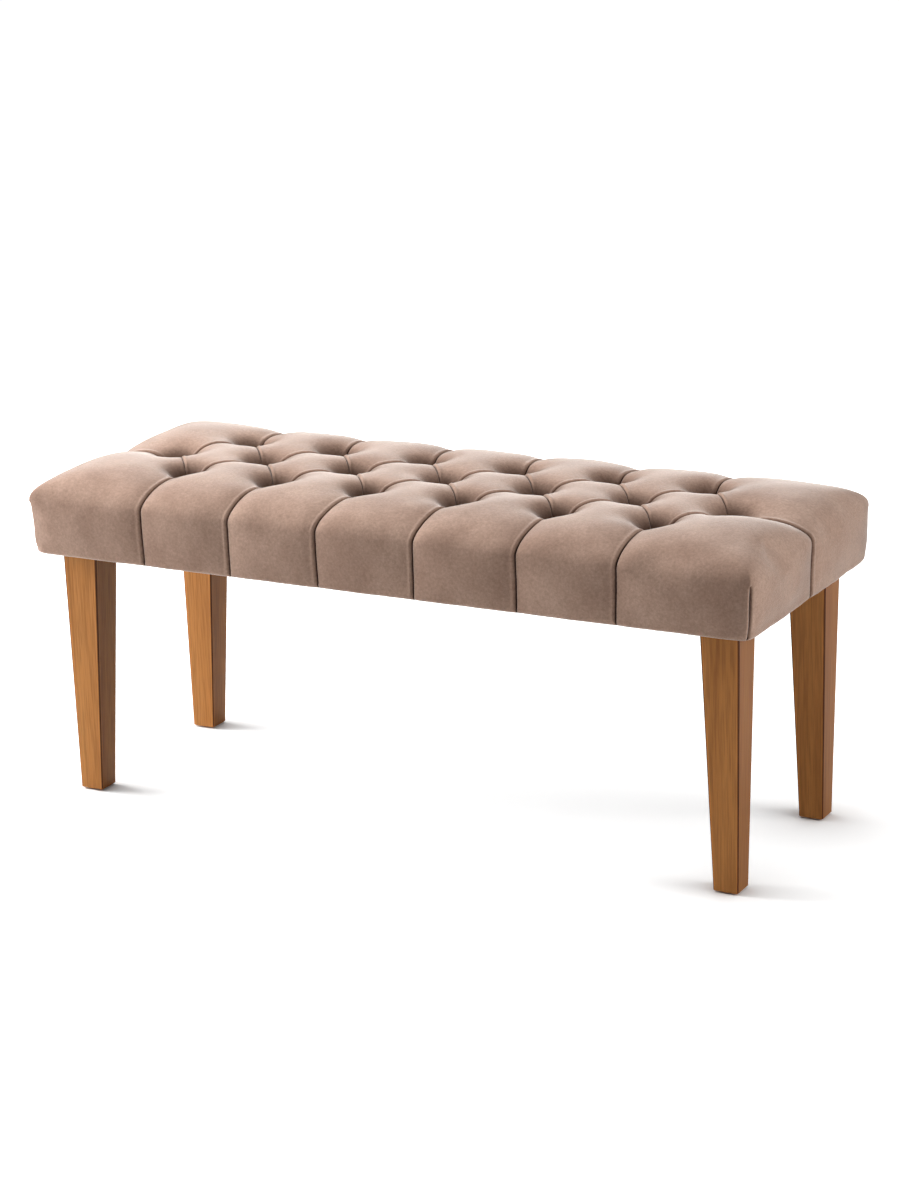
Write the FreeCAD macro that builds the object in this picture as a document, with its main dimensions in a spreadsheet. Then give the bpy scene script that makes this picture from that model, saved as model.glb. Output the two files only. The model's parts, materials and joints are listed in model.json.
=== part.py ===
import FreeCAD, Part
import math
import os
import Sketcher

# An upholstered bench: a wooden frame on four tapered legs, with a deep tufted velvet cushion.
# Millimetres. X runs along the bench, Y from front to back, Z up, and the floor is Z = 0.

V = FreeCAD.Vector
doc = FreeCAD.newDocument("upholstered_bench")

# Driving dimensions
SIZES = [
    # Cushion as seen from outside
    ("cushion_length", 1100),
    ("cushion_depth", 434),
    ("face_swell", 5),
    ("corner_radius", 16),
    ("side_padding", 12),
    ("crown_rise", 26.2),
    ("crown_power", 3.5),
    # Tufts: a middle row, and one row with a tuft less on each side of it
    ("middle_tufts", 7),
    ("tuft_pitch", 145),
    ("tuft_row_offset", 90),
    ("tuft_hole_radius", 6),
    ("tuft_floor_rise", 6.2),
    ("pleat_swell", 14),
    ("seam_swell", 13),
    ("seam_lap", 2),
    # Cloth and padding
    ("cover_thickness", 1.5),
    ("cover_hem", 25),
    ("dust_cloth", 0.8),
    ("soft_gap", 0.3),
    ("foam_thickness", 45),
    ("foam_inset", 3),
    ("foam_edge_radius", 20),
    ("dimple_floor_radius", 14),
    ("dimple_top_radius", 42),
    # Frame
    ("rail_height", 45),
    ("rail_thickness", 22),
    ("brace_offset", 180),
    ("deck_thickness", 9),
    ("block_length", 70),
    ("block_width", 66),
    # Legs
    ("leg_length", 362),
    ("leg_top_width", 56),
    ("leg_foot_width", 36),
    ("leg_foot_outset", 5),
    ("leg_inset_x", 56.3),
    ("leg_inset_y", 62.2),
    ("leg_edge_round", 2),
    ("foot_chamfer", 1.5),
    ("glide_height", 2),
    ("glide_radius", 11),
    ("glide_nail_radius", 1),
    ("glide_nail_length", 14),
    # Leg bolts
    ("bolt_radius", 4),
    ("bolt_in_leg", 35),
    ("bolt_tip", 5),
    ("bolt_top_gap", 3),
    ("nut_wall", 1.4),
    ("nut_barrel", 12),
    ("nut_flange_radius", 11),
    ("nut_flange", 1.5),
    # Screws
    ("screw_length", 60),
    ("screw_radius", 2.25),
    ("screw_head_radius", 4.25),
    ("screw_head", 3),
    ("screw_tip", 6),
    ("rail_screw_spread", 24),
    ("block_screw_spread_x", 26),
    ("block_screw_spread_y", 21),
    ("deck_screw_length", 30),
    ("deck_screw_radius", 1.75),
    ("deck_screw_head_radius", 3.5),
    ("deck_screw_pitch", 240),
    ("deck_screw_end_offset", 70),
    ("bore_clearance", 0.1),
    # Staples
    ("staple_crown", 10),
    ("staple_wire", 1.2),
    ("staple_crown_height", 0.7),
    ("staple_leg", 9),
    ("staple_pitch", 90),
    # Tuft ties
    ("twine_radius", 1),
    ("knot_radius", 2.5),
    ("knot_height", 2),
    ("tie_washer_radius", 10),
    ("tie_washer", 1.5),
    ("deck_twine_hole_radius", 3),
]

sheet = doc.addObject("Spreadsheet::Sheet", "Sizes")
for row, (alias, value) in enumerate(SIZES, start=1):
    sheet.set(f"A{row}", alias)
    sheet.set(f"B{row}", str(value))
    sheet.setAlias(f"B{row}", alias)
doc.recompute()

# Levels and faces that follow from the driving dimensions
PLACES = [
    ("leg_top", "Sizes.glide_height + Sizes.leg_length"),
    ("frame_bottom", "leg_top + Sizes.dust_cloth"),
    ("frame_top", "frame_bottom + Sizes.rail_height"),
    ("deck_top", "frame_top + Sizes.deck_thickness"),
    ("foam_top", "deck_top + Sizes.foam_thickness"),
    ("crown_top", "foam_top + Sizes.crown_rise"),
    ("tuft_floor", "deck_top + Sizes.tuft_floor_rise"),
    ("hem_bottom", "frame_bottom - Sizes.cover_thickness"),
    ("cushion_x", "Sizes.cushion_length / 2"),
    ("cushion_y", "Sizes.cushion_depth / 2"),
    ("frame_x", "cushion_x - Sizes.side_padding"),
    ("frame_y", "cushion_y - Sizes.side_padding"),
    ("rail_inner_x", "frame_x - Sizes.rail_thickness"),
    ("rail_inner_y", "frame_y - Sizes.rail_thickness"),
    ("rail_middle_x", "frame_x - Sizes.rail_thickness / 2"),
    ("rail_middle_y", "frame_y - Sizes.rail_thickness / 2"),
    ("rail_middle_z", "frame_bottom + Sizes.rail_height / 2"),
    ("hem_edge_x", "cushion_x - Sizes.cover_hem"),
    ("hem_edge_y", "cushion_y - Sizes.cover_hem"),
    ("leg_x", "cushion_x - Sizes.leg_inset_x"),
    ("leg_y", "cushion_y - Sizes.leg_inset_y"),
    ("block_screw_z", "rail_middle_z - Sizes.rail_screw_spread / 2"),
    ("staple_line_x", "(hem_edge_x + frame_x) / 2"),
    ("staple_line_y", "(hem_edge_y + frame_y) / 2"),
]
places = doc.addObject("App::VarSet", "Places")
for name, formula in PLACES:
    places.addProperty("App::PropertyFloat", name, "Places")
    places.setExpression(name, formula)
doc.recompute()


def size(name):
    """A driving dimension as a plain number."""
    return float(sheet.get(name))


def place(name):
    """A level or face as a plain number."""
    return float(getattr(places, name))


# Helpers for pieces whose sizes stay bound to the sheet

def bind(piece, **formulas):
    for prop, formula in formulas.items():
        piece.setExpression(prop, formula)
    return piece


def bind_position(piece, x="0", y="0", z="0", rotation=None):
    if rotation is not None:
        piece.Placement = FreeCAD.Placement(V(0, 0, 0), rotation)
    for axis, formula in (("x", x), ("y", y), ("z", z)):
        piece.setExpression(f"Placement.Base.{axis}", formula)
    return piece


def box(name, x0, x1, y0, y1, z0, z1):
    """A block between two corners, each given by formulas."""
    piece = doc.addObject("Part::Box", name)
    bind(piece, Length=f"({x1}) - ({x0})", Width=f"({y1}) - ({y0})", Height=f"({z1}) - ({z0})")
    return bind_position(piece, x0, y0, z0)


def cylinder(name, radius, height, z="0"):
    piece = doc.addObject("Part::Cylinder", name)
    bind(piece, Radius=radius, Height=height)
    return bind_position(piece, z=z)


def cut(name, base, *tools):
    """The base with every tool taken out of it."""
    for number, tool in enumerate(tools, start=1):
        piece = doc.addObject("Part::Cut", name if number == len(tools) else f"{name}_cut_{number}")
        piece.Base = base
        piece.Tool = tool
        base = piece
    return base


def group(name, pieces):
    piece = doc.addObject("Part::Compound", name)
    piece.Links = pieces
    return piece


def copies(name, template, spots):
    """One copy of the template at each (x, y, z, rotation), as separate solids."""
    links = []
    for number, (x, y, z, rotation) in enumerate(spots, start=1):
        link = doc.addObject("App::Link", f"{name}_{number}")
        link.LinkedObject = template
        link.LinkTransform = True
        links.append(bind_position(link, x, y, z, rotation))
    return group(name, links)


def plane(body, role):
    return next(feature for feature in body.Origin.OriginFeatures if feature.Role == role)


def polygon_sketch(body, name, role, corners):
    """A closed outline whose corners are (u formula, v formula)."""
    sketch = body.newObject("Sketcher::SketchObject", name)
    sketch.AttachmentSupport = (plane(body, role), [""])
    sketch.MapMode = "FlatFace"
    count = len(corners)
    guesses = []
    for u, v in corners:
        guesses.append((float(doc_value(u)), float(doc_value(v))))
    for number in range(count):
        start = V(*guesses[number], 0)
        end = V(*guesses[(number + 1) % count], 0)
        sketch.addGeometry(Part.LineSegment(start, end), False)
    for number in range(count):
        sketch.addConstraint(Sketcher.Constraint("Coincident", number, 2, (number + 1) % count, 1))
    for number, (u, v) in enumerate(corners):
        for kind, formula, guess, axis in (("DistanceX", u, 0, -2), ("DistanceY", v, 1, -1)):
            if formula == "0":
                sketch.addConstraint(Sketcher.Constraint("PointOnObject", number, 1, axis))
                continue
            rule = Sketcher.Constraint(kind, -1, 1, number, 1, guesses[number][guess])
            index = sketch.addConstraint(rule)
            sketch.setExpression(f"Constraints[{index}]", formula)
    return sketch


def doc_value(formula):
    """The present value of a formula, as a first guess for a sketch."""
    return doc.evalExpression(formula) if hasattr(doc, "evalExpression") else sheet.evalExpression(formula)


def turned(name, profile):
    """A body turned about Z from a half profile of (radius formula, height formula)."""
    body = doc.addObject("PartDesign::Body", name)
    sketch = polygon_sketch(body, f"{name}_profile", "XZ_Plane", profile)
    doc.recompute()
    turn = body.newObject("PartDesign::Revolution", f"{name}_turn")
    turn.Profile = sketch
    turn.ReferenceAxis = (sketch, ["V_Axis"])
    turn.Angle = 360
    doc.recompute()
    return body


FINISHED = []


def finish(node, piece):
    piece.Label = node
    FINISHED.append(piece)
    return piece


# Rotations that turn a screw, whose point is up, to the way that it is driven
DOWN = FreeCAD.Rotation(V(1, 0, 0), 180)
TO_FRONT = FreeCAD.Rotation(V(1, 0, 0), 90)
TO_BACK = FreeCAD.Rotation(V(1, 0, 0), -90)
TO_LEFT = FreeCAD.Rotation(V(0, 1, 0), -90)
TO_RIGHT = FreeCAD.Rotation(V(0, 1, 0), 90)
UP = FreeCAD.Rotation()
QUARTER_TURN = FreeCAD.Rotation(V(0, 0, 1), 90)

SIDES = (("left", -1), ("right", 1))
ENDS = (("front", -1), ("back", 1))


# Screws: one profile for the screw, and the same with a clearance for its bore

def screw(name, length, radius, head_radius, clearance="0"):
    grow = f" + {clearance}"
    return turned(name, [
        ("0", "0"),
        (head_radius + grow, "0"),
        (radius + grow, "Sizes.screw_head" + grow),
        (radius + grow, f"{length} - Sizes.screw_tip"),
        ("0", length + grow),
    ])


long_screw = screw("long_screw", "Sizes.screw_length", "Sizes.screw_radius", "Sizes.screw_head_radius")
long_bore = screw("long_bore", "Sizes.screw_length", "Sizes.screw_radius",
                  "Sizes.screw_head_radius", "Sizes.bore_clearance")
short_screw = screw("short_screw", "Sizes.deck_screw_length", "Sizes.deck_screw_radius",
                    "Sizes.deck_screw_head_radius")
short_bore = screw("short_bore", "Sizes.deck_screw_length", "Sizes.deck_screw_radius",
                   "Sizes.deck_screw_head_radius", "Sizes.bore_clearance")

# Two screws through the long rails into each end of every end rail and brace
rail_screw_spots = []
for line in ("-Places.rail_middle_x", "-Sizes.brace_offset", "Sizes.brace_offset", "Places.rail_middle_x"):
    for level in ("-", "+"):
        height = f"Places.rail_middle_z {level} Sizes.rail_screw_spread / 2"
        rail_screw_spots.append((line, "-Places.frame_y", height, TO_BACK))
        rail_screw_spots.append((line, "Places.frame_y", height, TO_FRONT))

# Two screws through each rail into each corner block, clear of the leg bolt
block_screw_spots = []
for end, sign_y in ENDS:
    for side, sign_x in SIDES:
        drive_y = TO_BACK if sign_y < 0 else TO_FRONT
        drive_x = TO_RIGHT if sign_x < 0 else TO_LEFT
        for step in (-1, 1):
            along_x = f"{sign_x} * (Places.rail_inner_x - Sizes.block_length / 2" \
                      f" + {step} * Sizes.block_screw_spread_x)"
            along_y = f"{sign_y} * (Places.rail_inner_y - Sizes.block_width / 2" \
                      f" + {step} * Sizes.block_screw_spread_y)"
            block_screw_spots.append(
                (along_x, f"{sign_y} * Places.frame_y", "Places.block_screw_z", drive_y))
            block_screw_spots.append(
                (f"{sign_x} * Places.frame_x", along_y, "Places.rail_middle_z", drive_x))

# Screws down through the deck into the long rails and the end rails
deck_screw_spots = []
for number in range(-2, 3):
    for _, sign_y in ENDS:
        deck_screw_spots.append(
            (f"{number} * Sizes.deck_screw_pitch", f"{sign_y} * Places.rail_middle_y", "Places.deck_top", DOWN))
for _, sign_x in SIDES:
    for _, sign_y in ENDS:
        deck_screw_spots.append(
            (f"{sign_x} * Places.rail_middle_x", f"{sign_y} * Sizes.deck_screw_end_offset",
             "Places.deck_top", DOWN))

finish("rail_screws", copies("rail_screws", long_screw, rail_screw_spots))
finish("block_screws", copies("block_screws", long_screw, block_screw_spots))
finish("deck_screws", copies("deck_screws", short_screw, deck_screw_spots))
rail_bores = copies("rail_bores", long_bore, rail_screw_spots)
block_bores = copies("block_bores", long_bore, block_screw_spots)
deck_bores = copies("deck_bores", short_bore, deck_screw_spots)


# Staples: a flat crown with two legs, and the slots that they make

def staple(name, clearance="0"):
    half = f"Sizes.staple_crown / 2 + {clearance}"
    leg = f"Sizes.staple_wire + 2 * {clearance}"
    thick = f"Sizes.staple_wire / 2 + {clearance}"
    tip = f"Sizes.staple_leg + {clearance}"
    crown = box(f"{name}_crown", f"-({half})", half, f"-({thick})", thick, "0", "Sizes.staple_crown_height")
    first = box(f"{name}_leg_1", f"-({half})", f"-({half}) + {leg}", f"-({thick})", thick, "0", tip)
    second = box(f"{name}_leg_2", f"{half} - ({leg})", half, f"-({thick})", thick, "0", tip)
    whole = doc.addObject("Part::MultiFuse", name)
    whole.Shapes = [crown, first, second]
    return whole


def staple_spots(long_steps, end_steps, level):
    """Along both long edges and both ends, at the given numbers of half pitches."""
    spots = []
    for _, sign in ENDS:
        for step in long_steps:
            spots.append((f"{step} * Sizes.staple_pitch / 2", f"{sign} * Places.staple_line_y", level, UP))
        for step in end_steps:
            spots.append(
                (f"{sign} * Places.staple_line_x", f"{step} * Sizes.staple_pitch / 2", level, QUARTER_TURN))
    return spots


staple_piece = staple("staple_piece")
staple_slot = staple("staple_slot", "Sizes.bore_clearance")
hem_spots = staple_spots(range(-10, 11, 2), range(-2, 3, 2), "Places.hem_bottom")
dust_level = "Places.hem_bottom - Sizes.dust_cloth - Sizes.staple_crown_height"
dust_spots = staple_spots(range(-11, 12, 2), range(-3, 4, 2), dust_level)
finish("cover_staples", copies("cover_staples", staple_piece, hem_spots))
finish("dust_cloth_staples", copies("dust_cloth_staples", staple_piece, dust_spots))
hem_slots = copies("hem_slots", staple_slot, hem_spots)
dust_slots = copies("dust_slots", staple_slot, dust_spots)

# Long rails over the full length, end rails and braces between them
for end, sign in ENDS:
    low = "-Places.frame_y" if sign < 0 else "Places.rail_inner_y"
    high = "-Places.rail_inner_y" if sign < 0 else "Places.frame_y"
    blank = box(f"{end}_rail_blank", "-Places.frame_x", "Places.frame_x", low, high,
                "Places.frame_bottom", "Places.frame_top")
    finish(f"{end}_rail", cut(f"{end}_rail", blank, rail_bores, block_bores, deck_bores, hem_slots, dust_slots))

for side, sign in SIDES:
    low = "-Places.frame_x" if sign < 0 else "Places.rail_inner_x"
    high = "-Places.rail_inner_x" if sign < 0 else "Places.frame_x"
    blank = box(f"{side}_end_rail_blank", low, high, "-Places.rail_inner_y", "Places.rail_inner_y",
                "Places.frame_bottom", "Places.frame_top")
    finish(f"{side}_end_rail",
           cut(f"{side}_end_rail", blank, rail_bores, block_bores, deck_bores, hem_slots, dust_slots))
    middle = f"{sign} * Sizes.brace_offset"
    brace = box(f"{side}_brace_blank", f"{middle} - Sizes.rail_thickness / 2",
                f"{middle} + Sizes.rail_thickness / 2", "-Places.rail_inner_y", "Places.rail_inner_y",
                "Places.frame_bottom", "Places.frame_top")
    finish(f"{side}_brace", cut(f"{side}_brace", brace, rail_bores))

# Corner blocks, legs and what joins them: a bolt up from each leg into a nut let into the block
leg_spots = [(f"{sign_x} * Places.leg_x", f"{sign_y} * Places.leg_y") for _, sign_y in ENDS for _, sign_x in SIDES]

hanger_bolt = turned("hanger_bolt", [
    ("0", "-Sizes.bolt_in_leg"),
    ("Sizes.bolt_radius", "-Sizes.bolt_in_leg + Sizes.bolt_tip"),
    ("Sizes.bolt_radius", "Sizes.dust_cloth + Sizes.rail_height - Sizes.bolt_top_gap"),
    ("0", "Sizes.dust_cloth + Sizes.rail_height - Sizes.bolt_top_gap"),
])
finish("hanger_bolts", copies("hanger_bolts", hanger_bolt, [(x, y, "Places.leg_top", UP) for x, y in leg_spots]))

nut_bore = "Sizes.bolt_radius + Sizes.bore_clearance"
tee_nut = turned("tee_nut", [
    (nut_bore, "-Sizes.nut_barrel"),
    (f"{nut_bore} + Sizes.nut_wall", "-Sizes.nut_barrel"),
    (f"{nut_bore} + Sizes.nut_wall", "-Sizes.nut_flange"),
    ("Sizes.nut_flange_radius", "-Sizes.nut_flange"),
    ("Sizes.nut_flange_radius", "0"),
    (nut_bore, "0"),
])
finish("tee_nuts", copies("tee_nuts", tee_nut, [(x, y, "Places.frame_top", UP) for x, y in leg_spots]))

nut_seat = turned("nut_seat", [
    ("0", "-Sizes.rail_height"),
    (f"{nut_bore} + Sizes.nut_wall + Sizes.bore_clearance", "-Sizes.rail_height"),
    (f"{nut_bore} + Sizes.nut_wall + Sizes.bore_clearance", "-Sizes.nut_flange"),
    ("Sizes.nut_flange_radius + Sizes.bore_clearance", "-Sizes.nut_flange"),
    ("Sizes.nut_flange_radius + Sizes.bore_clearance", "0"),
    ("0", "0"),
])
nut_seats = copies("nut_seats", nut_seat, [(x, y, "Places.frame_top", UP) for x, y in leg_spots])

foot_glide = turned("foot_glide", [
    ("0", "0"),
    ("Sizes.glide_radius", "0"),
    ("Sizes.glide_radius", "Sizes.glide_height"),
    ("Sizes.glide_nail_radius", "Sizes.glide_height"),
    ("Sizes.glide_nail_radius", "Sizes.glide_nail_length"),
    ("0", "Sizes.glide_nail_length + Sizes.glide_nail_radius"),
])
foot_spots = [
    (f"{sign_x} * (Places.leg_x + Sizes.leg_foot_outset)", f"{sign_y} * Places.leg_y", "0", UP)
    for _, sign_y in ENDS for _, sign_x in SIDES
]
finish("foot_glides", copies("foot_glides", foot_glide, foot_spots))


def rounded_square(body, name, width, middle, level):
    """A level square with round corners, as a leg is cut across."""
    sketch = body.newObject("Sketcher::SketchObject", name)
    sketch.AttachmentSupport = (plane(body, "XY_Plane"), [""])
    sketch.MapMode = "FlatFace"
    sketch.setExpression("AttachmentOffset.Base.x", middle)
    sketch.setExpression("AttachmentOffset.Base.z", level)
    half = doc_value(width) / 2
    radius = size("leg_edge_round")
    reach = half - radius
    turns = ((1, -1), (1, 1), (-1, 1), (-1, -1))
    for number, (turn_x, turn_y) in enumerate(turns):
        centre = V(turn_x * reach, turn_y * reach, 0)
        start = math.radians(90 * (number - 1))
        arc = Part.ArcOfCircle(Part.Circle(centre, V(0, 0, 1), radius), start, start + math.pi / 2)
        sketch.addGeometry(arc, False)
        after = FreeCAD.Rotation(V(0, 0, 1), 90).multVec(centre)
        outward = V(math.cos(start + math.pi / 2), math.sin(start + math.pi / 2), 0) * radius
        sketch.addGeometry(Part.LineSegment(centre + outward, after + outward), False)
    for number, (turn_x, turn_y) in enumerate(turns):
        arc, line, next_arc = 2 * number, 2 * number + 1, (2 * number + 2) % 8
        sketch.addConstraint(Sketcher.Constraint("Tangent", arc, 2, line, 1))
        sketch.addConstraint(Sketcher.Constraint("Tangent", line, 2, next_arc, 1))
        for kind, turn in (("DistanceX", turn_x), ("DistanceY", turn_y)):
            index = sketch.addConstraint(Sketcher.Constraint(kind, -1, 1, arc, 3, turn * reach))
            sketch.setExpression(f"Constraints[{index}]", f"{turn} * ({width} / 2 - Sizes.leg_edge_round)")
    index = sketch.addConstraint(Sketcher.Constraint("Radius", 0, radius))
    sketch.setExpression(f"Constraints[{index}]", "Sizes.leg_edge_round")
    return sketch


def bore(body, name, radius, depth, middle, level, upward):
    """A round hole into the leg, from its top or its foot."""
    sketch = body.newObject("Sketcher::SketchObject", f"{name}_circle")
    sketch.AttachmentSupport = (plane(body, "XY_Plane"), [""])
    sketch.MapMode = "FlatFace"
    sketch.addGeometry(Part.Circle(V(0, 0, 0), V(0, 0, 1), 1), False)
    sketch.addConstraint(Sketcher.Constraint("Coincident", 0, 3, -1, 1))
    index = sketch.addConstraint(Sketcher.Constraint("Radius", 0, 1))
    sketch.setExpression(f"Constraints[{index}]", radius)
    sketch.setExpression("AttachmentOffset.Base.x", middle)
    sketch.setExpression("AttachmentOffset.Base.z", level)
    doc.recompute()
    before = body.Shape.Volume
    pocket = body.newObject("PartDesign::Pocket", name)
    pocket.Profile = sketch
    pocket.Reversed = upward
    pocket.setExpression("Length", depth)
    doc.recompute()
    if not 1 < body.Shape.Volume < before - 1:
        raise RuntimeError(f"{name} cuts nothing")


def leg(name, sign_x):
    """A square leg tapered to its foot, which stands outward of its head and has a chamfered edge."""
    body = doc.addObject("PartDesign::Body", name)
    outward = f"{sign_x} * Sizes.leg_foot_outset"
    sole = rounded_square(body, f"{name}_sole", "(Sizes.leg_foot_width - 2 * Sizes.foot_chamfer)", outward, "0")
    foot = rounded_square(body, f"{name}_foot", "Sizes.leg_foot_width", outward, "Sizes.foot_chamfer")
    head = rounded_square(body, f"{name}_head", "Sizes.leg_top_width", "0", "Sizes.leg_length")
    doc.recompute()
    taper = body.newObject("PartDesign::AdditiveLoft", f"{name}_taper")
    taper.Profile = sole
    taper.Sections = [foot, head]
    taper.Ruled = True
    doc.recompute()
    bore(body, f"{name}_bolt_hole", "Sizes.bolt_radius + Sizes.bore_clearance",
         "Sizes.bolt_in_leg + Sizes.bore_clearance", "0", "Sizes.leg_length", False)
    bore(body, f"{name}_nail_hole", "Sizes.glide_nail_radius + Sizes.bore_clearance",
         "Sizes.glide_nail_length - Sizes.glide_height + 2 * Sizes.glide_nail_radius", outward, "0", True)
    return body


for end, sign_y in ENDS:
    for side, sign_x in SIDES:
        near_x = "Places.rail_inner_x - Sizes.block_length"
        near_y = "Places.rail_inner_y - Sizes.block_width"
        spans = []
        for sign, near, far in ((sign_x, near_x, "Places.rail_inner_x"), (sign_y, near_y, "Places.rail_inner_y")):
            spans += [f"-({far})", f"-({near})"] if sign < 0 else [near, far]
        blank = box(f"{end}_{side}_block_blank", *spans, "Places.frame_bottom", "Places.frame_top")
        block = f"corner_block_{end}_{side}"
        finish(block, cut(block, blank, nut_seats, block_bores))
        one_leg = leg(f"leg_{end}_{side}", sign_x)
        bind_position(one_leg, f"{sign_x} * Places.leg_x", f"{sign_y} * Places.leg_y", "Sizes.glide_height")
        finish(f"leg_{end}_{side}", one_leg)

# Tufts: where they lie, and the ties that hold them down through the deck
middle_tufts = int(size("middle_tufts"))
tuft_grid = [(number - (middle_tufts - 1) / 2, 0) for number in range(middle_tufts)]
tuft_grid += [
    (number - (middle_tufts - 2) / 2, row) for row in (-1, 1) for number in range(middle_tufts - 1)
]


def at_tufts(name, template, level):
    spots = [(f"{step} * Sizes.tuft_pitch", f"{row} * Sizes.tuft_row_offset", level, UP) for step, row in tuft_grid]
    return copies(name, template, spots)


tie_reach = "(Sizes.tuft_floor_rise + Sizes.deck_thickness + Sizes.tie_washer)"
tuft_tie = turned("tuft_tie", [
    ("0", "Sizes.knot_height"),
    ("Sizes.knot_radius", "Sizes.knot_height"),
    ("Sizes.knot_radius", "0"),
    ("Sizes.twine_radius", "0"),
    ("Sizes.twine_radius", f"-{tie_reach}"),
    ("Sizes.knot_radius", f"-{tie_reach}"),
    ("Sizes.knot_radius", f"-{tie_reach} - Sizes.knot_height"),
    ("0", f"-{tie_reach} - Sizes.knot_height"),
])
finish("tuft_ties", at_tufts("tuft_ties", tuft_tie, "Places.tuft_floor"))

twine_hole = cylinder("twine_hole", "Sizes.twine_radius + Sizes.bore_clearance",
                      f"{tie_reach} + Sizes.knot_height", f"-{tie_reach}")
twine_holes = at_tufts("twine_holes", twine_hole, "Places.tuft_floor")
washer_blank = cylinder("washer_blank", "Sizes.tie_washer_radius", "Sizes.tie_washer")
washer_eye = cylinder("washer_eye", "Sizes.twine_radius + Sizes.bore_clearance", "Sizes.tie_washer")
tie_washer = cut("tie_washer_piece", washer_blank, washer_eye)
finish("tie_washers", at_tufts("tie_washers", tie_washer, "Places.frame_top - Sizes.tie_washer"))

# Plywood deck on the frame, bored for the ties and its own screws
deck_blank = box("deck_blank", "-Places.frame_x", "Places.frame_x", "-Places.frame_y", "Places.frame_y",
                 "Places.frame_top", "Places.deck_top")
deck_hole = cylinder("deck_hole", "Sizes.deck_twine_hole_radius", "Sizes.deck_thickness")
deck_holes = at_tufts("deck_holes", deck_hole, "Places.frame_top")
finish("deck_board", cut("deck_board", deck_blank, deck_bores, deck_holes))


def foam_slab(name, grow="0"):
    """The foam with its round upper edges and a dimple at each tuft, or the space that it takes."""
    half_x = f"Places.frame_x - Sizes.foam_inset + {grow}"
    half_y = f"Places.frame_y - Sizes.foam_inset + {grow}"
    body = doc.addObject("PartDesign::Body", f"{name}_slab")
    sketch = polygon_sketch(body, f"{name}_outline", "XY_Plane", [
        (f"-({half_x})", f"-({half_y})"),
        (half_x, f"-({half_y})"),
        (half_x, half_y),
        (f"-({half_x})", half_y),
    ])
    sketch.setExpression("AttachmentOffset.Base.z", "Places.deck_top")
    doc.recompute()
    pad = body.newObject("PartDesign::Pad", f"{name}_pad")
    pad.Profile = sketch
    pad.setExpression("Length", f"Sizes.foam_thickness + {grow}")
    doc.recompute()
    top = max(edge.BoundBox.ZMax for edge in pad.Shape.Edges)
    rim = []
    for number, edge in enumerate(pad.Shape.Edges, start=1):
        if edge.BoundBox.ZMin > top - 1:
            rim.append(f"Edge{number}")
    rounding = body.newObject("PartDesign::Fillet", f"{name}_rounding")
    rounding.Base = (pad, rim)
    rounding.setExpression("Radius", "Sizes.foam_edge_radius")
    dimple = doc.addObject("Part::Cone", f"{name}_dimple")
    bind(dimple, Radius1=f"Sizes.dimple_floor_radius - {grow}", Radius2=f"Sizes.dimple_top_radius - {grow}",
         Height=f"Sizes.foam_thickness + {grow}")
    return cut(name, body, at_tufts(f"{name}_dimples", dimple, "Places.deck_top"))


foam_pad = finish("foam_pad", foam_slab("foam_pad"))
foam_space = foam_slab("foam_space", "Sizes.soft_gap")
frame_space = box(
    "frame_space", "-Places.frame_x - Sizes.soft_gap", "Places.frame_x + Sizes.soft_gap",
    "-Places.frame_y - Sizes.soft_gap", "Places.frame_y + Sizes.soft_gap",
    "Places.hem_bottom", "Places.deck_top + Sizes.soft_gap")
hem_window = box("hem_window", "-Places.hem_edge_x", "Places.hem_edge_x", "-Places.hem_edge_y",
                 "Places.hem_edge_y", "Places.hem_bottom - Sizes.cover_thickness", "Places.frame_bottom")

# Dust cloth under the frame: flat between the hems, then stepped down over them
step_x = "Places.hem_edge_x - Sizes.soft_gap"
step_y = "Places.hem_edge_y - Sizes.soft_gap"
cloth_low = "Places.hem_bottom - Sizes.dust_cloth"
cloth_step = box("cloth_step", f"-({step_x})", step_x, f"-({step_y})", step_y, cloth_low, "Places.frame_bottom")
cloth_rim = box("cloth_rim", "-Places.frame_x", "Places.frame_x", "-Places.frame_y", "Places.frame_y",
                cloth_low, "Places.hem_bottom")
cloth_whole = doc.addObject("Part::MultiFuse", "cloth_whole")
cloth_whole.Shapes = [cloth_step, cloth_rim]
cloth_hollow = box(
    "cloth_hollow", f"-({step_x}) + Sizes.dust_cloth", f"{step_x} - Sizes.dust_cloth",
    f"-({step_y}) + Sizes.dust_cloth", f"{step_y} - Sizes.dust_cloth", cloth_low, "Places.leg_top")
bolt_hole = cylinder("bolt_hole", "Sizes.bolt_radius + Sizes.bore_clearance", "Sizes.dust_cloth")
bolt_holes = copies("bolt_holes", bolt_hole, [(x, y, "Places.leg_top", UP) for x, y in leg_spots])
finish("dust_cloth", cut("dust_cloth", cloth_whole, cloth_hollow, bolt_holes, dust_slots))


# The tufted form: one swollen pouf over each cell between the tufts, joined where they meet.
# Where two poufs cross there is a pleat, high at its middle and low at its tufts.
# Between their drawn-in corners a well is left at each tuft, down to the tuft floor.

def outline(sides, middle, scale, level):
    """The cell's outline shrunk about its middle: each side is a line or an arc that swells outward."""
    edges = []
    for start, end, swell in sides:
        first = V(*(c + (p - c) * scale for p, c in zip(start, middle)), level)
        last = V(*(c + (p - c) * scale for p, c in zip(end, middle)), level)
        along = last - first
        outward = V(along.y, -along.x, 0).normalize()
        edges.append(Part.Arc(first, (first + last) * 0.5 + outward * (swell * scale), last).toShape())
    return Part.Wire(edges)


def drawn_in(corner, middle, distance):
    reach = math.hypot(middle[0] - corner[0], middle[1] - corner[1])
    return tuple(p + (c - p) * distance / reach for p, c in zip(corner, middle))


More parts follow.
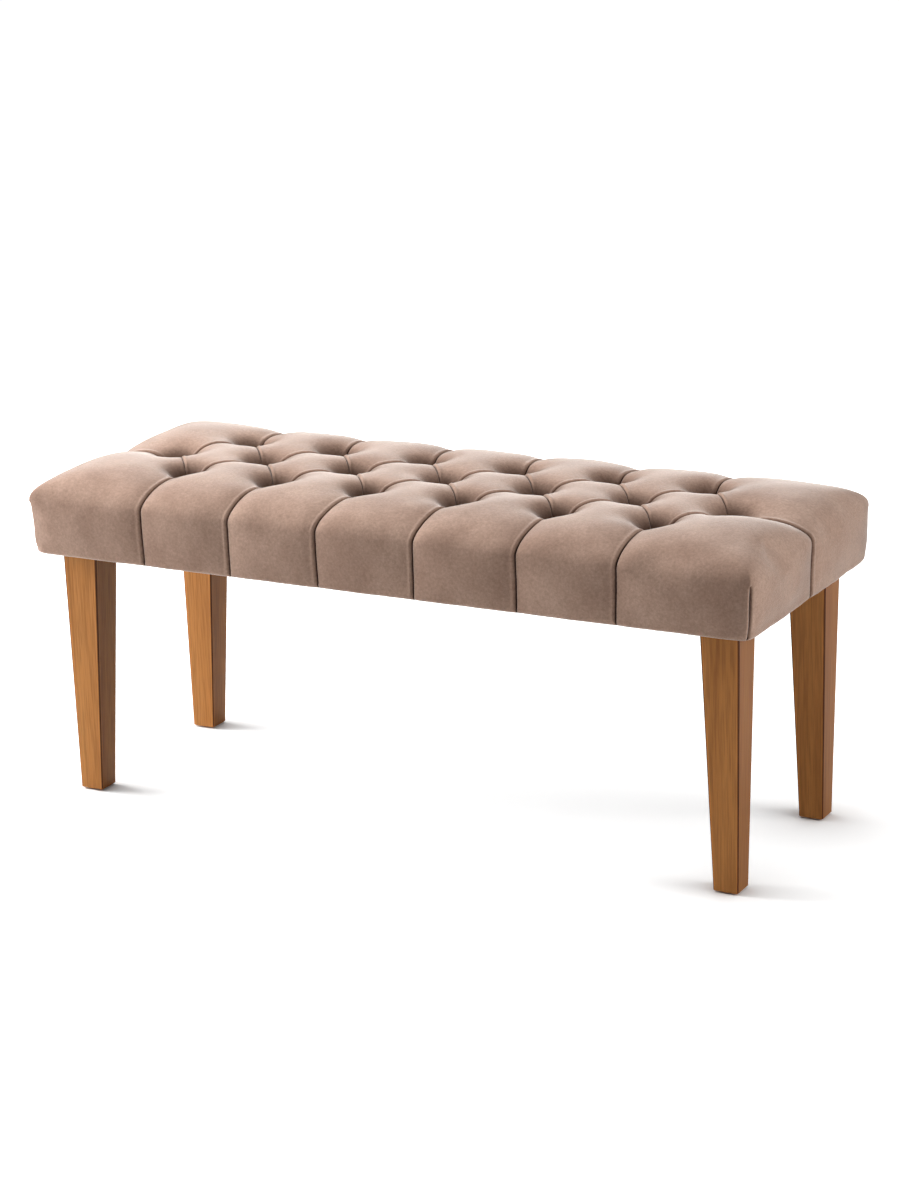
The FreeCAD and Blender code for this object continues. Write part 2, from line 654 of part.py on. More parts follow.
def closed_sides(corners, swells):
    """Sides in counter-clockwise order, from corners in either order."""
    area = sum(a[0] * b[1] - b[0] * a[1] for a, b in zip(corners, corners[1:] + corners[:1]))
    if area < 0:
        corners = corners[::-1]
        swells = swells[-2::-1] + swells[-1:]
    return [(a, b, swell) for a, b, swell in zip(corners, corners[1:] + corners[:1], swells)]


def tuft_cells(inset):
    """Every cell as its sides and its middle: diamonds, edge cells and corner cells."""
    pitch = size("tuft_pitch")
    row = size("tuft_row_offset")
    half_x = place("cushion_x") - inset
    half_y = place("cushion_y") - inset
    lap = size("seam_lap")
    face = size("face_swell")
    pleat = size("pleat_swell") - inset
    seam = size("seam_swell") - inset
    well = size("tuft_hole_radius") + inset
    radius = size("corner_radius")
    corner_swell = radius * (1 - math.sqrt(0.5))
    cells = []
    for number in range(middle_tufts - 1):
        x = (number - (middle_tufts - 2) / 2) * pitch
        tufts = [(x - pitch / 2, 0), (x, -row), (x + pitch / 2, 0), (x, row)]
        corners = [drawn_in(tuft, (x, 0), well) for tuft in tufts]
        cells.append((closed_sides(corners, [pleat] * 4), (x, 0)))
    for sign_y in (-1, 1):
        for number in range(middle_tufts - 2):
            x = (number - (middle_tufts - 3) / 2) * pitch
            middle = (x, sign_y * place("cushion_y") / 2)
            tufts = [(x + pitch / 2, sign_y * row), (x, 0), (x - pitch / 2, sign_y * row)]
            corners = [(x - pitch / 2 - lap, sign_y * half_y), (x + pitch / 2 + lap, sign_y * half_y)]
            corners += [drawn_in(tuft, middle, well) for tuft in tufts]
            cells.append((closed_sides(corners, [face, seam, pleat, pleat, seam]), middle))
        for sign_x in (-1, 1):
            seam_x = (middle_tufts - 2) / 2 * pitch
            end_x = (middle_tufts - 1) / 2 * pitch
            middle = (sign_x * (seam_x + place("cushion_x")) / 2, sign_y * place("cushion_y") / 2)
            tufts = [(sign_x * end_x, 0), (sign_x * seam_x, sign_y * row)]
            corners = [
                (sign_x * (seam_x - lap), sign_y * half_y),
                (sign_x * (half_x - radius), sign_y * half_y),
                (sign_x * half_x, sign_y * (half_y - radius)),
                (sign_x * half_x, -sign_y * lap),
            ]
            corners += [drawn_in(tuft, middle, well) for tuft in tufts]
            cells.append((closed_sides(corners, [face, corner_swell, face, seam, pleat, seam]), middle))
    return cells


# Heights of the rings of a pouf, as shares of its rise: the sides stand upright before they turn in
CROWN_STEPS = (0, 0.2, 0.4, 0.6, 0.78, 0.9, 0.97, 0.996, 0.99999)


def tufted_form(inset, bottom):
    """The whole cushion as a solid, drawn in by the inset, from its bottom level to its crown."""
    floor = place("tuft_floor") - inset
    rise = place("crown_top") - place("tuft_floor")
    power = size("crown_power")
    core_x = place("frame_x") - size("foam_inset")
    core_y = place("frame_y") - size("foam_inset")
    core = Part.makeBox(2 * core_x, 2 * core_y, floor - bottom, V(-core_x, -core_y, bottom))
    poufs = []
    for sides, middle in tuft_cells(inset):
        rings = []
        for step in CROWN_STEPS:
            scale = (1 - step ** power) ** (1 / power)
            rings.append(outline(sides, middle, scale, floor + rise * step))
        poufs.append(Part.makeLoft(rings, True, False))
        reaches_side = max(abs(side[0][1]) for side in sides) > place("frame_y")
        if reaches_side:
            poufs.append(Part.Face(rings[0].copy()).extrude(V(0, 0, bottom - floor)))
    return core.multiFuse(poufs)


doc.recompute()

cover = doc.addObject("Part::Feature", "velvet_cover")
cover_inside = tufted_form(size("cover_thickness"), place("frame_bottom"))
cover.Shape = tufted_form(0, place("hem_bottom")).cut(
    [cover_inside, hem_window.Shape, twine_holes.Shape, hem_slots.Shape, dust_slots.Shape])
cover.Placement = FreeCAD.Placement()
finish("velvet_cover", cover)

wadding = doc.addObject("Part::Feature", "wadding_layer")
wadding_inset = size("cover_thickness") + size("soft_gap")
wadding.Shape = tufted_form(wadding_inset, place("frame_bottom") + size("soft_gap")).cut(
    [frame_space.Shape, foam_space.Shape, twine_holes.Shape])
wadding.Placement = FreeCAD.Placement()
finish("wadding_layer", wadding)

doc.recompute()

# Every object and piece is checked before anything is written
for piece in doc.Objects:
    if "Invalid" in piece.State or "Error" in piece.State:
        raise RuntimeError(f"{piece.Name} failed: {piece.State}")
for piece in FINISHED:
    shape = piece.Shape
    if shape.isNull() or not shape.isValid() or not shape.Solids:
        raise RuntimeError(f"{piece.Label} has no valid solid")

os.makedirs("parts", exist_ok=True)
for piece in FINISHED:
    shape = piece.Shape
    shape.exportStep(os.path.join("parts", piece.Label + ".step"))
    corners = shape.BoundBox
    print(f"{piece.Label}: {len(shape.Solids)} solids, {shape.Volume / 1000:.1f} cm3, "
          f"x {corners.XMin:.1f} {corners.XMax:.1f} y {corners.YMin:.1f} {corners.YMax:.1f} "
          f"z {corners.ZMin:.1f} {corners.ZMax:.1f}")
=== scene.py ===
"""Upholstered bench: a deep tufted velvet cushion on four tapered wooden legs. Sizes are in metres."""
import json
import math

import bpy
import numpy as np
from mathutils import Matrix, Vector

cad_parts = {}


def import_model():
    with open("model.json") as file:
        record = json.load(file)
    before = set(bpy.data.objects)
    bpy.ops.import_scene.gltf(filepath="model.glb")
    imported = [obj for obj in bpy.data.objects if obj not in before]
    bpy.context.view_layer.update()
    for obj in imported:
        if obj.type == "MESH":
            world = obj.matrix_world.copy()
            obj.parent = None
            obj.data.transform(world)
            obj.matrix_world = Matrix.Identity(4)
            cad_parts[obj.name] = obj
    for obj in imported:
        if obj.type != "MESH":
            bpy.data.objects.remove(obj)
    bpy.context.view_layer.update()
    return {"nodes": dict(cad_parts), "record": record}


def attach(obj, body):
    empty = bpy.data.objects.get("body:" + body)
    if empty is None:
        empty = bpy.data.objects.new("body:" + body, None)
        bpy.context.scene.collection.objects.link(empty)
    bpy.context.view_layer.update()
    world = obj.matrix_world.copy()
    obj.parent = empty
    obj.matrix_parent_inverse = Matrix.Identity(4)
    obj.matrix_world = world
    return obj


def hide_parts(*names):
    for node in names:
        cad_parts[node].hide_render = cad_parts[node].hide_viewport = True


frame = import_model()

scene = bpy.context.scene

# Cushion: outline, crown and the four upright faces
HALF_LENGTH = 0.550
HALF_DEPTH = 0.217
CROWN_TOP = 0.4865
SHOULDER = 0.441
UNDERSIDE = 0.3636
ROLL_DEPTH = 0.136
ROLL_LENGTH = 0.100
ROLL_POWER = 2.15
CORNER_BLEND = 5.0
FACE_SWELL = 0.0025
FACE_SWELL_POWER = 2.6
FACE_FLARE = 0.0025
CORNER_REACH = 0.022
CORNER_PULL = 0.0014

# The hem, turned under the frame, and the lowest part of the faces above it
HEM_RADIUS = 0.008
HEM_BEND = HEM_RADIUS * math.pi / 2
HEM_WIDTH = 0.0145
HEM_RIM_POWER = 16
FACE = SHOULDER - UNDERSIDE - HEM_RADIUS
LOW_START = 0.72
LOW_PULL = 0.0028
HEM_WAVE = 0.0004
HEM_WAVES = ((1.0, 61, 90, 0.0), (0.6, 143, -201, 1.0))

# Slow unevenness of the stuffing: each wave's share of the height, and its rates along x and y
UNEVEN_SEED = 11
UNEVEN_HEIGHT = 0.0006
UNEVEN_WAVES = ((1.0, 31, 17), (1.0, -23, 41), (0.6, 67, 38), (0.6, 49, -73))
UNEVEN_DROP_X, UNEVEN_DROP_Y = 0.7, 0.6

# Tufts: their places, and the narrow neck and wide bowl of each well
TUFT_PITCH = 0.145
ROW_OFFSET = 0.090
WELL_NECK = 0.051
WELL_NECK_WIDTH = 0.0160
WELL_NECK_POWER = 1.6
WELL_BOWL = 0.017
WELL_BOWL_WIDTH = 0.035
WELL_BOWL_POWER = 1.4
# Reach of the painted shade round each well
WELL_SHADE = 0.0270

# Valleys along the folds, the depth and width of the slots in them, and the layers of cloth beside them
PLEAT_DIP = 0.0020
PLEAT_WIDTH = 0.010
SEAM_DIP = 0.0060
SEAM_WIDTH = 0.017
FACE_SEAM_DIP = 0.0012
FACE_SEAM_WIDTH = 0.007
END_DIP = 0.0120
END_DIP_WIDTH = 0.038
DIP_POWER = 1.5
SLOTS = {"seam": (0.0042, 0.0011), "end": (0.0080, 0.0022), "pleat": (0.0030, 0.0010)}
# The pleats' slits get this share of the painted shade
PLEAT_SHADE = 0.5
STEP_HEIGHT = 0.0007
STEP_WIDTH = 0.0070
LIP_HEIGHT = 0.0010
LIP_PLACE = 0.0042
LIP_WIDTH = 0.0018
SECOND_DEPTH = 0.0016
SECOND_PLACE = 0.0058
SECOND_WIDTH = 0.0013
SECOND_REACH = 0.034

# Puckers round each tuft: two sets of radial waves
GATHER_SEED = 5
GATHER_HEIGHT = 0.0006
GATHER_RING = 0.018
GATHER_FADE = 0.008
GATHER_COUNTS = (9, 14)
GATHER_SECOND = 0.7

# The slit down each vertical corner
CORNER_FOLD_DROP = 0.001
CORNER_FOLD_RAMP = 0.006
CORNER_FOLD_PLACE = 0.0015
CORNER_FOLD_DEPTH = 0.0090
CORNER_FOLD_WIDTH = 0.0024

# Spacing of the cushion's points: beside a fold, over the open top, and down to the hem
FOLD_PLACES = [0, 0.0006, 0.0012, 0.0019, 0.0027, 0.0037, 0.0049, 0.0064, 0.0085, 0.0112]
TOP_STEP = 0.0040
CORNER_STEP = 0.0045
TOP_RUN = 0.170
EDGE_SAMPLES = 181
EDGE_CROWDING = 2.6
FACE_POINTS, BEND_POINTS, HEM_POINTS = 18, 6, 5
CORNER_HOLD = 0.060

# The stuffing's push: spacing of the coarse cover, its cloth, and the widths over which it is held
CLOTH_STEP = 0.0055
CLOTH_FRAMES = 20
CLOTH_CAP = 0.004
CLOTH = {"quality": 6, "mass": 0.3, "tension_stiffness": 4, "compression_stiffness": 4,
         "shear_stiffness": 2, "bending_stiffness": 3, "use_pressure": True, "uniform_pressure_force": 5.0}
HELD_NEAR = 0.003
HELD_FADE = 0.012
HELD_WELL = 0.022

# Legs
LEG_TOP = 0.364
LEG_HEAD_HALF = 0.028
LEG_FOOT_HALF = 0.018
LEG_HEAD_X, LEG_HEAD_Y = 0.4937, 0.1548
LEG_FOOT_X, LEG_FOOT_Y = 0.4987, 0.1548

# Dust cloth: its size, and how it rises from the hem it lies on to the rails
DUST_HALF_X, DUST_HALF_Y = 0.538, 0.205
DUST_POINTS_X, DUST_POINTS_Y = 181, 71
DUST_RIM, DUST_SLOPE = 0.010, 0.008
DUST_UNDERSIDE = 0.36292
DUST_RISE = 0.0015
DUST_RIPPLE = 0.00012
DUST_RIPPLE_X, DUST_RIPPLE_Y = 260, 170

# Colours
WHITE = (1.0, 1.0, 1.0)
VELVET_DEEP = (0.370, 0.234, 0.173)
VELVET_PALE = (0.500, 0.335, 0.256)
# Painted shade for the velvet's wells, slits and corner folds
VELVET_PAINTED_SHADE = (0.15, 0.105, 0.085)
VELVET_FLECKS = (0.70, 0.69, 0.68), (1.08, 1.08, 1.08)
LEG_TONES = (0.385, 0.147, 0.034), (0.500, 0.202, 0.050), (0.575, 0.250, 0.068)
LEG_STREAKS = (0.50, 0.45, 0.42), (1.05, 1.05, 1.05)
# Painted shade on the legs' faces turned along x
LEG_SIDE_PAINTED_SHADE = (0.57, 0.53, 0.50)
# Painted highlight, then painted shade, along the legs' arrises
LEG_EDGE_PAINTED_HIGHLIGHT = (1.22, 1.19, 1.16)
LEG_EDGE_PAINTED_SHADE = (0.28, 0.21, 0.18)

# Floor: how bright it looks close to the bench and far from it, and how near the feet its painted contact
# shadow reaches
FLOOR_REACH = 12
FLOOR_COLOUR = (0.86, 0.86, 0.86, 1)
FLOOR_NEAR, FLOOR_FAR = 0.75, 1.4
GLOW_NEAR, GLOW_FAR = 0.64, 1.0
CONTACT_REACH = 0.13
CONTACT_POWER = 2.6

# Lamps: place, point aimed at, width and watts
LAMPS = {
    "left": ((-2.6, -0.3, 2.0), (0, 0, 0.4), 1.8, 112),
    "low_left": ((-3.0, -0.6, 0.9), (0, 0, 0.3), 1.6, 55),
    "left_front": ((-2.4, -2.6, 1.6), (0, 0, 0.35), 1.8, 10),
    "top": ((-0.6, 0.2, 2.9), (0, 0, 0.4), 1.8, 28),
    "right": ((3.0, 0.4, 1.4), (0, 0, 0.35), 1.8, 58),
}

# Camera: place, turn round the vertical, tilt down, roll, lens and vertical shift
EYE = (2.01995, -3.83134, 1.56386)
EYE_YAW, EYE_PITCH, EYE_ROLL = -27.67, 14.12, -1.22
EYE_LENS = 95.76
EYE_SHIFT = -0.1

# Places of the tufts, and how far each seam's foot strays from straight below its tuft
MIDDLE_X = [TUFT_PITCH * (i - 3) for i in range(7)]
OUTER_X = [TUFT_PITCH * (i - 2.5) for i in range(6)]
SEAM_STRAY = [0.0, -0.0045, -0.0105, -0.0075, 0.0005, 0.0]
OUTER_TUFTS = [(x, side * ROW_OFFSET) for side in (-1, 1) for x in OUTER_X]
TUFTS = [(x, 0.0) for x in MIDDLE_X] + OUTER_TUFTS


def waves(x, y, rows):
    """Sum of slanting waves, each with its share, its rates along x and y, and its phase."""
    return sum(share * np.sin(rate_x * x + rate_y * y + phase) for share, rate_x, rate_y, phase in rows)


def roll(inset, reach):
    """Share of the crown's height at a distance in from the outline: upright at first, then flat."""
    out = np.clip(1 - inset / reach, 0, 1)
    return np.clip(1 - out ** ROLL_POWER, 1e-9, 1) ** (1 / ROLL_POWER)


def crown_shares(x, y):
    """The crown's share of its height, and the shares that the length and the depth alone would give."""
    along = np.maximum(roll(HALF_LENGTH - np.abs(x), ROLL_LENGTH), 1e-4)
    across = np.maximum(roll(HALF_DEPTH - np.abs(y), ROLL_DEPTH), 1e-4)
    both = (along ** -CORNER_BLEND + across ** -CORNER_BLEND - 1) ** (-1 / CORNER_BLEND)
    return both, along, across


def crown(x, y):
    """Height of the untufted top."""
    return SHOULDER + (CROWN_TOP - SHOULDER) * crown_shares(x, y)[0]


def outward(x, y):
    """Direction square to the crown, level where it meets the faces."""
    rise = CROWN_TOP - SHOULDER
    both, along, across = crown_shares(x, y)
    lean = ROLL_POWER - 1
    out_x = np.clip(1 - (HALF_LENGTH - np.abs(x)) / ROLL_LENGTH, 0, 1) ** lean
    out_y = np.clip(1 - (HALF_DEPTH - np.abs(y)) / ROLL_DEPTH, 0, 1) ** lean
    nx = np.sign(x) * rise / ROLL_LENGTH * out_x * (both / along) ** (CORNER_BLEND + 1) / along ** lean
    ny = np.sign(y) * rise / ROLL_DEPTH * out_y * (both / across) ** (CORNER_BLEND + 1) / across ** lean
    normal = np.stack([nx, ny, np.ones_like(nx)], axis=-1)
    normal /= np.linalg.norm(normal, axis=-1, keepdims=True)
    near = corner_share(x, y)[..., None]
    normal = normal + near * np.stack([np.sign(x), np.sign(y), 0 * x], axis=-1)
    return normal / np.linalg.norm(normal, axis=-1, keepdims=True)


def corner_share(x, y):
    """1 at a vertical corner, falling to 0 a little way from it."""
    in_x = np.clip(1 - (HALF_LENGTH - np.abs(x)) / CORNER_REACH, 0, 1)
    in_y = np.clip(1 - (HALF_DEPTH - np.abs(y)) / CORNER_REACH, 0, 1)
    return (in_x * in_y) ** 2


def low_share(drop):
    """0 down to the lower part of a face, then rising to 1 at the hem."""
    return np.clip((drop / FACE - LOW_START) / (1 - LOW_START), 0, 1) ** 2


def envelope(x, y, drop):
    """Point and outward direction of the untufted cushion. drop is how far down the face the point lies."""
    low = low_share(drop)
    below = np.clip(drop - FACE, 0, None)
    turn = np.clip(below / HEM_RADIUS, 0, math.pi / 2)
    inward = HEM_RADIUS * (1 - np.cos(turn)) + np.clip(below - HEM_BEND, 0, None)
    z = crown(x, y) - np.clip(drop, 0, FACE) - HEM_RADIUS * np.sin(turn)
    z += HEM_WAVE * np.cos(turn) * low * waves(x, y, HEM_WAVES)
    normal = outward(x, y)
    level = np.stack([0 * x, 0 * x, -np.ones_like(x)], axis=-1)
    normal = normal * np.cos(turn)[..., None] + level * np.sin(turn)[..., None]
    flare = FACE_FLARE * (1 - np.clip(drop / FACE, 0, 1))
    flare -= (CORNER_PULL + LOW_PULL * low) * corner_share(x, y)
    bulge = swell(x, y)
    far_x, far_y = np.abs(x) / HALF_LENGTH, np.abs(y) / HALF_DEPTH
    px = x + np.sign(x) * (flare * np.abs(x) / HALF_LENGTH - inward * far_x ** HEM_RIM_POWER)
    py = y + np.sign(y) * (flare * np.abs(y) / HALF_DEPTH - inward * far_y ** HEM_RIM_POWER)
    px += bulge * normal[..., 0]
    py += bulge * normal[..., 1]
    return np.stack([px, py, z], axis=-1), normal


def seam_foot(x):
    """Where the seam from an outer tuft at x reaches the hem: a few stray from the straight."""
    return x + SEAM_STRAY[OUTER_X.index(x)]


def pleat_lines():
    """Each fold as its start, its end, its kind, and the side on which its lip lies."""
    lines = []
    for tuft in OUTER_TUFTS:
        row = math.copysign(1, tuft[1])
        lines.append((tuft, (seam_foot(tuft[0]), row * HALF_DEPTH), "seam", -row))
        for middle in MIDDLE_X:
            if abs(middle - tuft[0]) < TUFT_PITCH:
                lines.append((tuft, (middle, 0.0), "pleat", math.copysign(1, tuft[0] - middle)))
    for side in (-1, 1):
        lines.append(((side * MIDDLE_X[-1], 0.0), (side * HALF_LENGTH, 0.0), "end", -side))
    return lines


def from_line(x, y, start, end):
    """Distance from a fold, the sign of the side, and how far along the fold."""
    dx, dy = end[0] - start[0], end[1] - start[1]
    length = math.hypot(dx, dy)
    along = np.clip(((x - start[0]) * dx + (y - start[1]) * dy) / length ** 2, 0, 1)
    away = np.hypot(x - start[0] - along * dx, y - start[1] - along * dy)
    side = (x - start[0]) * dy - (y - start[1]) * dx
    return away, np.sign(side), along * length


def wells(x, y):
    """How deep the tufts pull the top down."""
    deep = np.zeros_like(x)
    for tx, ty in TUFTS:
        r = np.hypot(x - tx, y - ty)
        deep += WELL_NECK * np.exp(-(r / WELL_NECK_WIDTH) ** WELL_NECK_POWER)
        deep += WELL_BOWL * np.exp(-(r / WELL_BOWL_WIDTH) ** WELL_BOWL_POWER)
    return np.minimum(deep, WELL_NECK + WELL_BOWL)


def folds(x, y, drop):
    """How far in the cloth lies at the folds, less their lips. Also how sunk each point is, 0 to 1."""
    dip, slot, lip, step, second_slot, shade = (np.zeros_like(x) for _ in range(6))
    over = 1 - level_share(x, y, drop)
    for start, end, kind, lip_side in pleat_lines():
        away, side, run = from_line(x, y, start, end)
        on_lip = side * lip_side > 0
        depth, width = PLEAT_DIP, PLEAT_WIDTH
        if kind != "pleat":
            depth, width = (END_DIP, END_DIP_WIDTH) if kind == "end" else (SEAM_DIP, SEAM_WIDTH)
            depth = depth + (FACE_SEAM_DIP - depth) * over
            width = width + (FACE_SEAM_WIDTH - width) * over
        deep, wide = SLOTS[kind]
        dip = np.maximum(dip, depth * np.exp(-(away / width) ** DIP_POWER))
        cut = np.exp(-(away / wide) ** 2)
        slot = np.maximum(slot, deep * cut)
        shade = np.maximum(shade, cut * (PLEAT_SHADE if kind == "pleat" else 1.0))
        if kind == "pleat":
            from_tuft = np.minimum(run, math.dist(start, end) - run)
            second = on_lip * SECOND_DEPTH * np.exp(-((away - SECOND_PLACE) / SECOND_WIDTH) ** 2)
            second_slot = np.maximum(second_slot, second * np.exp(-(from_tuft / SECOND_REACH) ** 2))
        lip = np.maximum(lip, on_lip * LIP_HEIGHT * np.exp(-((away - LIP_PLACE) / LIP_WIDTH) ** 2))
        rise = np.where(on_lip, 1, -1) * STEP_HEIGHT * np.exp(-away / STEP_WIDTH) * (kind != "seam")
        step = np.where(np.abs(rise) > np.abs(step), rise, step)
    return dip + slot + second_slot - lip - step, shade


def level_share(x, y, drop):
    """1 on the flat of the top, falling to 0 on the faces."""
    return np.where(drop > 0, 0.0, np.clip(outward(x, y)[..., 2], 0, 1) ** 2)


def corner_folds(x, y, drop):
    """The slit where the front and end faces are folded together at each vertical corner."""
    around = (HALF_DEPTH - np.abs(y)) - (HALF_LENGTH - np.abs(x)) - CORNER_FOLD_PLACE
    on_face = np.clip((drop - CORNER_FOLD_DROP) / CORNER_FOLD_RAMP, 0, 1)
    return on_face * CORNER_FOLD_DEPTH * np.exp(-(around / CORNER_FOLD_WIDTH) ** 2)


def swell(x, y):
    """How far the faces bulge between the seams and the corners."""
    on_end = (HALF_LENGTH - np.abs(x)) < (HALF_DEPTH - np.abs(y))
    stops = np.array([-HALF_LENGTH] + [seam_foot(x) for x in OUTER_X] + [HALF_LENGTH])
    at = np.clip(np.searchsorted(stops, x, side="right") - 1, 0, len(stops) - 2)
    share_front = (x - stops[at]) / (stops[at + 1] - stops[at])
    share = np.where(on_end, np.abs(y) / HALF_DEPTH, share_front)
    return FACE_SWELL * (1 - np.abs(2 * share - 1) ** FACE_SWELL_POWER)


def uneven(x, y, drop):
    """Slow unevenness of hand-laid stuffing."""
    phases = np.random.default_rng(UNEVEN_SEED).uniform(0, 2 * math.pi, len(UNEVEN_WAVES))
    rows = [(*wave, phase) for wave, phase in zip(UNEVEN_WAVES, phases)]
    return UNEVEN_HEIGHT * waves(x + UNEVEN_DROP_X * drop, y - UNEVEN_DROP_Y * drop, rows)


def gathers(x, y):
    """Small radial puckers in a ring round each tuft."""
    height = np.zeros_like(x)
    draw = np.random.default_rng(GATHER_SEED)
    first_count, second_count = GATHER_COUNTS
    for tx, ty in TUFTS:
        first, second = draw.uniform(0, 2 * math.pi, 2)
        angle = np.arctan2(y - ty, x - tx)
        ring = np.exp(-((np.hypot(x - tx, y - ty) - GATHER_RING) / GATHER_FADE) ** 2)
        puckers = np.sin(first_count * angle + first)
        puckers += GATHER_SECOND * np.sin(second_count * angle + second)
        height += ring * puckers
    return GATHER_HEIGHT * height


def cushion_point(x, y, drop):
    """Points of the tufted cushion, and how sunk each is, from 0 in the open to 1 in a well or slit."""
    point, normal = envelope(x, y, drop)
    turned_under = np.clip(normal[..., 2:], -1, 0)
    fold, sunk = folds(x, y, drop)
    corner = corner_folds(x, y, drop)
    out = uneven(x, y, drop) + gathers(x, y) - fold - corner
    point = point + normal * out[..., None] * (1 + turned_under)
    point[..., 2] -= wells(x, y)
    # The sunk share is the mask of painted shade in the velvet's colour, at the slits, corner folds and
    # wells
    sunk = np.maximum(sunk, corner / CORNER_FOLD_DEPTH)
    for tx, ty in TUFTS:
        sunk = np.maximum(sunk, np.exp(-(np.hypot(x - tx, y - ty) / WELL_SHADE) ** 2))
    return point, np.clip(sunk, 0, 1)


def close_at(length, both=True, step=TOP_STEP):
    """Places from 0 to length, close together beside the fold at its start, or at both its ends."""
    near, last = FOLD_PLACES[:-1], FOLD_PLACES[-1]
    stop = length - last if both else length
    count = max(int(round((stop - last) / step)), 1)
    middle = list(np.linspace(last, stop, count + 1))
    far = [length - place for place in reversed(near)] if both else []
    return np.array(near + middle + far)


def over_the_edge(starts, ends):
    """Columns of points from the folds on top, over the edge and down the face to the hem."""
    starts, ends = np.array(starts), np.array(ends)
    fine = 1 - (1 - np.linspace(0, 1, EDGE_SAMPLES)) ** EDGE_CROWDING
    path = starts[:, None, :] + (ends - starts)[:, None, :] * fine[None, :, None]
    z = crown(path[..., 0], path[..., 1])
    step = np.linalg.norm(np.diff(np.concatenate([path, z[..., None]], axis=-1), axis=1), axis=-1)
    run = np.concatenate([np.zeros((len(starts), 1)), np.cumsum(step, axis=1)], axis=1)
    shares = close_at(TOP_RUN, both=False) / TOP_RUN
    top = np.array([np.interp(shares * r[-1], r, fine) for r in run])
    drops = np.concatenate([np.linspace(0, FACE, FACE_POINTS)[1:],
                            FACE + np.linspace(0, HEM_BEND, BEND_POINTS)[1:],
                            FACE + HEM_BEND + np.linspace(0, HEM_WIDTH, HEM_POINTS)[1:]])
    share = np.concatenate([top, np.ones((len(starts), len(drops)))], axis=1)
    plan = starts[:, None, :] + (ends - starts)[:, None, :] * share[..., None]
    drop = np.concatenate([np.zeros_like(top), np.tile(drops, (len(starts), 1))], axis=1)
    return plan[..., 0], plan[..., 1], drop


def curtain(left_x, side):
    """The pouf between two neighbouring seams of the front or back face."""
    offsets = close_at(TUFT_PITCH)
    peak = 1 - np.abs(2 * offsets / TUFT_PITCH - 1)
    left, right = seam_foot(left_x), seam_foot(OUTER_X[OUTER_X.index(left_x) + 1])
    starts = [(left_x + o, side * ROW_OFFSET * (1 - p)) for o, p in zip(offsets, peak)]
    ends = [(left + (right - left) * o / TUFT_PITCH, side * HALF_DEPTH) for o in offsets]
    return over_the_edge(starts, ends)


def diamond(left_x):
    """The pouf between two middle tufts and the front and back tuft between them."""
    side = math.hypot(TUFT_PITCH / 2, ROW_OFFSET)
    places = close_at(side) / side
    u, v = np.meshgrid(places, places, indexing="ij")
    x = left_x + (u + v) * TUFT_PITCH / 2
    y = (v - u) * ROW_OFFSET
    return x, y, np.zeros_like(x)


def corner_pouf(end, side):
    """The large pouf at a corner, from the last pleat round the corner to the middle of the end."""
    outer, middle = np.array([OUTER_X[-1], ROW_OFFSET]), np.array([MIDDLE_X[-1], 0.0])
    front = HALF_LENGTH - OUTER_X[-1]
    around = close_at(front, step=CORNER_STEP)
    rim = np.concatenate([around, front + close_at(HALF_DEPTH, step=CORNER_STEP)[1:]])
    share = np.clip((rim - CORNER_HOLD) / (rim[-1] - 2 * CORNER_HOLD), 0, 1)
    starts = outer + (middle - outer) * share[:, None]
    ends = [(OUTER_X[-1] + r, HALF_DEPTH) if r <= front else (HALF_LENGTH, HALF_DEPTH + front - r)
            for r in rim]
    flip = np.array([end, side])
    return over_the_edge(starts * flip, np.array(ends) * flip)


def quads_of(grid, first):
    """Faces of one patch, turned to look outward."""
    rows, cols = grid.shape[:2]
    index = first + np.arange(rows * cols).reshape(rows, cols)
    quads = np.stack([index[:-1, :-1], index[1:, :-1], index[1:, 1:], index[:-1, 1:]], axis=-1)
    quads = quads.reshape(-1, 4)
    a, b, c = grid[rows // 2, cols // 2], grid[rows // 2 + 1, cols // 2], grid[rows // 2, cols // 2 + 1]
    inward = np.cross(b - a, c - a) @ (a - np.array([0, 0, UNDERSIDE])) < 0
    return quads[:, ::-1] if inward else quads


def patch_mesh(name, grids):
    """One mesh of all patches, with points that coincide joined. Also where each patch's points went."""
    quads, first = [], 0
    for grid in grids:
        quads.append(quads_of(grid, first))
        first += grid.shape[0] * grid.shape[1]
    points = np.concatenate([grid.reshape(-1, 3) for grid in grids])
    _, kept, joined = np.unique(np.round(points, 5), axis=0, return_index=True, return_inverse=True)
    joined = joined.ravel()
    quads = joined[np.concatenate(quads)]
    distinct = quads != np.roll(quads, 1, axis=1)
    faces = [quad[own].tolist() for quad, own in zip(quads, distinct) if own.sum() > 2]
    mesh = bpy.data.meshes.new(name)
    mesh.from_pydata(points[kept].tolist(), [], faces)
    mesh.polygons.foreach_set("use_smooth", [True] * len(mesh.polygons))
    mesh.update()
    return mesh, kept, joined


def spaced(lengths, step):
    """Indices of places along a line that lie at least a step apart, with both its ends."""
    chosen = [0]
    for i, at in enumerate(lengths):
        if at - lengths[chosen[-1]] >= step and lengths[-1] - at >= step:
            chosen.append(i)
    return np.array(chosen + [len(lengths) - 1])


def run_along(grid, axis):
    """Mean length walked along one direction of a patch."""
    steps = np.linalg.norm(np.diff(grid, axis=axis), axis=-1).mean(axis=1 - axis)
    return np.concatenate([[0], np.cumsum(steps)])


def smooth_between(values, knots, places):
    """Values at places along the first axis, on smooth curves through those at the knots."""
    slope = np.gradient(values, knots, axis=0)
    at = np.clip(np.searchsorted(knots, places, side="right") - 1, 0, len(knots) - 2)
    width = knots[at + 1] - knots[at]
    t = ((places - knots[at]) / width)[:, None, None]
    width = width[:, None, None]
    a, b = values[at], values[at + 1]
    return (a * (2 * t ** 3 - 3 * t ** 2 + 1) + b * (3 * t ** 2 - 2 * t ** 3)
            + slope[at] * width * (t ** 3 - 2 * t ** 2 + t) + slope[at + 1] * width * (t ** 3 - t ** 2))


